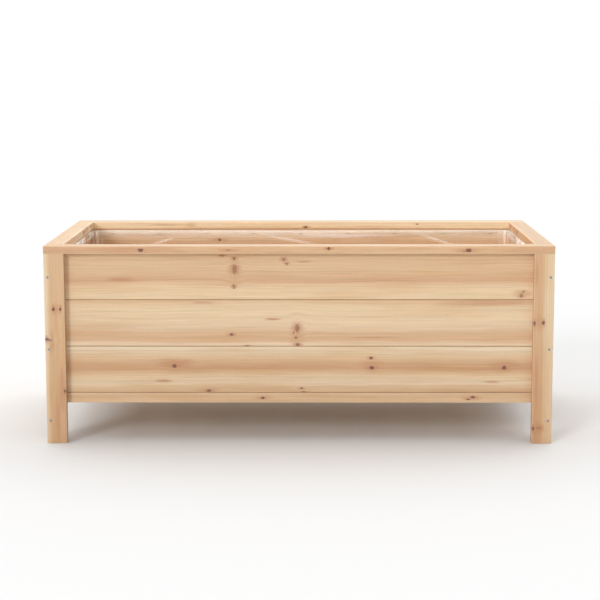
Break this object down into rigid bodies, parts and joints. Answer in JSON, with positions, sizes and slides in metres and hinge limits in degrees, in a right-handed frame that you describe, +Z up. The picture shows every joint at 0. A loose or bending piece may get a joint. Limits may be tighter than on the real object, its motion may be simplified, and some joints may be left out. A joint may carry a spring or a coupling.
{
  "type": "raised planter",
  "caption": "Long timber planter box on short corner legs, with tongued and grooved board sides, a flat rim, a slatted floor and a clear film liner.",
  "frame": {"origin": "on the ground, under the middle of the planter", "axes": "+X along the length to the right seen from the front, +Y from front to back, +Z up"},
  "size_m": [1.18, 0.61, 0.465],
  "materials": {
    "rim_timber": "planed, unfinished",
    "leg_timber": "planed, unfinished",
    "panel_timber": "planed, unfinished",
    "rail_timber": "planed, unfinished",
    "slat_timber": "sawn, unfinished",
    "dowel_timber": "beech, fluted",
    "clear_film": "clear film, glossy, creased",
    "screw_steel": "zinc plated",
    "staple_wire": "galvanised wire"
  },
  "bodies": {
    "root": {"back_board_bottom": "panel_timber", "back_board_middle": "panel_timber", "back_board_top": "panel_timber", "bottom_rail_back": "rail_timber", "bottom_rail_front": "rail_timber", "bottom_rail_left": "rail_timber", "bottom_rail_right": "rail_timber", "floor_screws": "screw_steel", "floor_slat_01": "slat_timber", "floor_slat_02": "slat_timber", "floor_slat_03": "slat_timber", "floor_slat_04": "slat_timber", "floor_slat_05": "slat_timber", "floor_slat_06": "slat_timber", "floor_slat_07": "slat_timber", "floor_slat_08": "slat_timber", "floor_slat_09": "slat_timber", "floor_slat_10": "slat_timber", "floor_slat_11": "slat_timber", "front_board_bottom": "panel_timber", "front_board_middle": "panel_timber", "front_board_top": "panel_timber", "left_board_bottom": "panel_timber", "left_board_middle": "panel_timber", "left_board_top": "panel_timber", "leg_back_left_face": "leg_timber", "leg_back_left_return": "leg_timber", "leg_back_right_face": "leg_timber", "leg_back_right_return": "leg_timber", "leg_front_left_face": "leg_timber", "leg_front_left_return": "leg_timber", "leg_front_right_face": "leg_timber", "leg_front_right_return": "leg_timber", "leg_screws": "screw_steel", "liner_film": "clear_film", "liner_staples": "staple_wire", "panel_screws_long_sides": "screw_steel", "panel_screws_short_sides": "screw_steel", "rail_leg_screws": "screw_steel", "rail_screws": "screw_steel", "right_board_bottom": "panel_timber", "right_board_middle": "panel_timber", "right_board_top": "panel_timber", "rim_back": "rim_timber", "rim_corner_dowels": "dowel_timber", "rim_dowels": "dowel_timber", "rim_front": "rim_timber", "rim_left": "rim_timber", "rim_right": "rim_timber"}
  },
  "joints": []
}
